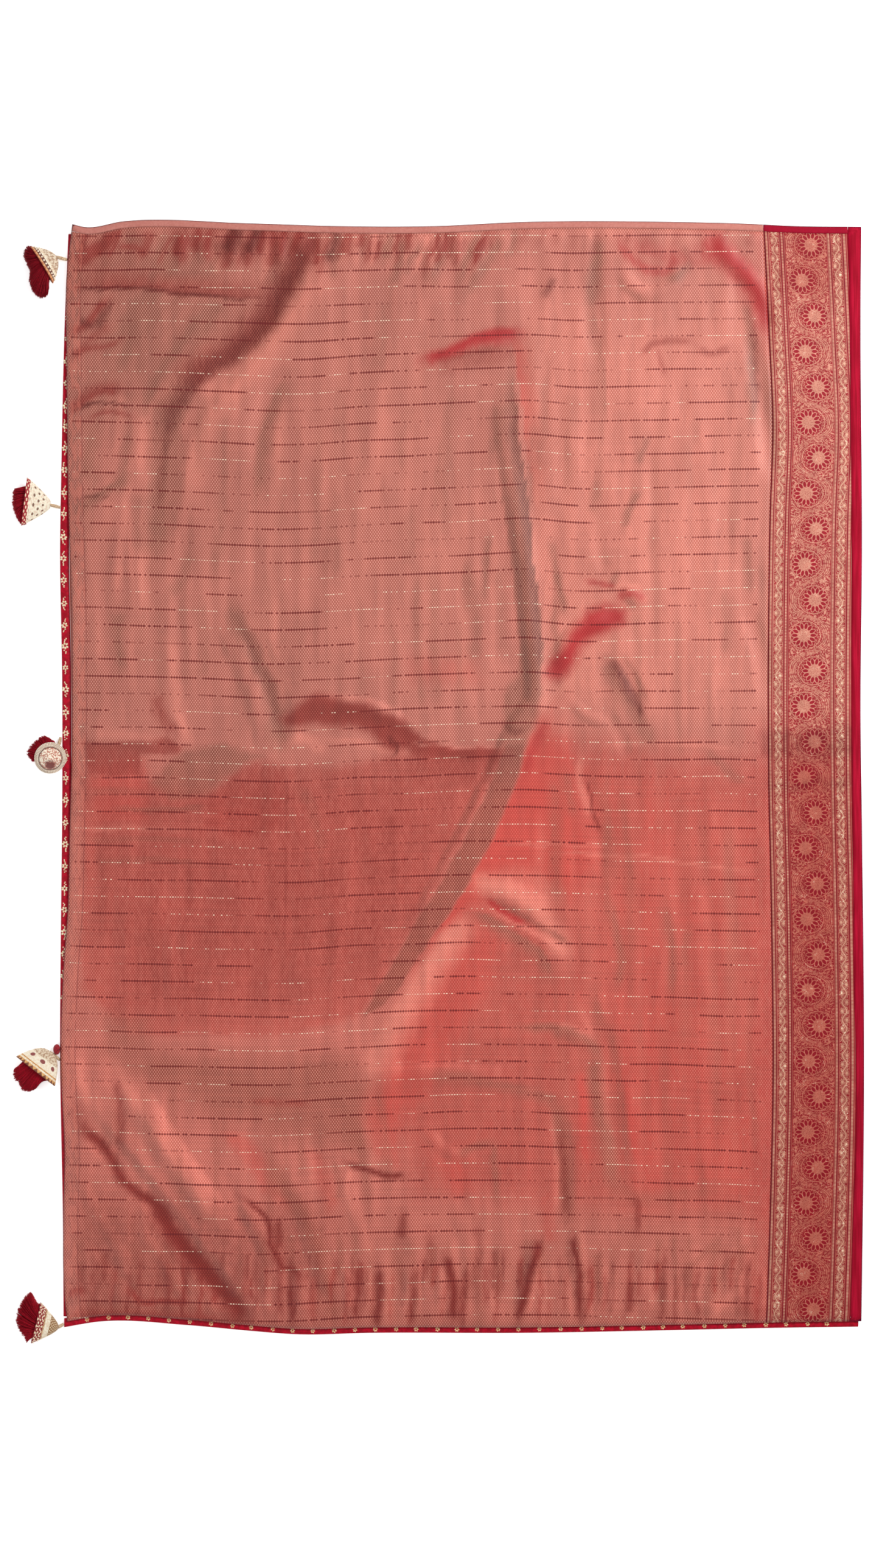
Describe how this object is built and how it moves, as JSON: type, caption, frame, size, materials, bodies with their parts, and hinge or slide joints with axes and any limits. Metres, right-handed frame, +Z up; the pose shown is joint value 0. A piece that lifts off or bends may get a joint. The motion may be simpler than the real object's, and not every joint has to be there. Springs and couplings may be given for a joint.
{
  "type": "saree laid flat and folded in three stretches",
  "caption": "Salmon and red shot silk saree lying folded flat, with a woven gold border on the right, satin bindings on the left and lower sides, and stitched tassels on the left.",
  "frame": {"origin": "middle of the underside of the bottom stretch, on the surface that the saree lies on", "axes": "+Z up from that surface, +X towards the woven border and the selvedge, +Y towards the plain heading at the free end"},
  "size_m": [1.2363, 1.625, 0.0254],
  "materials": {
    "shot_silk": "satin",
    "gold_border": "satin",
    "crimson_silk": "satin",
    "pale_heading": "matte",
    "red_heading": "satin",
    "inner_cloth": "satin",
    "satin_binding": "satin",
    "stitched_cone": "matte",
    "red_thread": "matte"
  },
  "bodies": {
    "root": {"top_field": "shot_silk", "top_border": "gold_border", "top_selvedge": "crimson_silk", "top_heading": "pale_heading", "top_heading_border": "red_heading", "hidden_layers": "inner_cloth", "under_stretch": "inner_cloth", "edging_left": "satin_binding", "edging_bottom": "satin_binding", "tassel_1_neck": "stitched_cone", "tassel_1_cone": "stitched_cone", "tassel_1_fringe": "red_thread", "tassel_2_neck": "stitched_cone", "tassel_2_cone": "stitched_cone", "tassel_2_fringe": "red_thread", "tassel_3_neck": "stitched_cone", "tassel_3_cone": "stitched_cone", "tassel_3_fringe": "red_thread", "tassel_4_neck": "stitched_cone", "tassel_4_cone": "stitched_cone", "tassel_4_fringe": "red_thread", "tassel_4_bead": "red_thread", "tassel_5_neck": "stitched_cone", "tassel_5_cone": "stitched_cone", "tassel_5_fringe": "red_thread"}
  },
  "joints": []
}
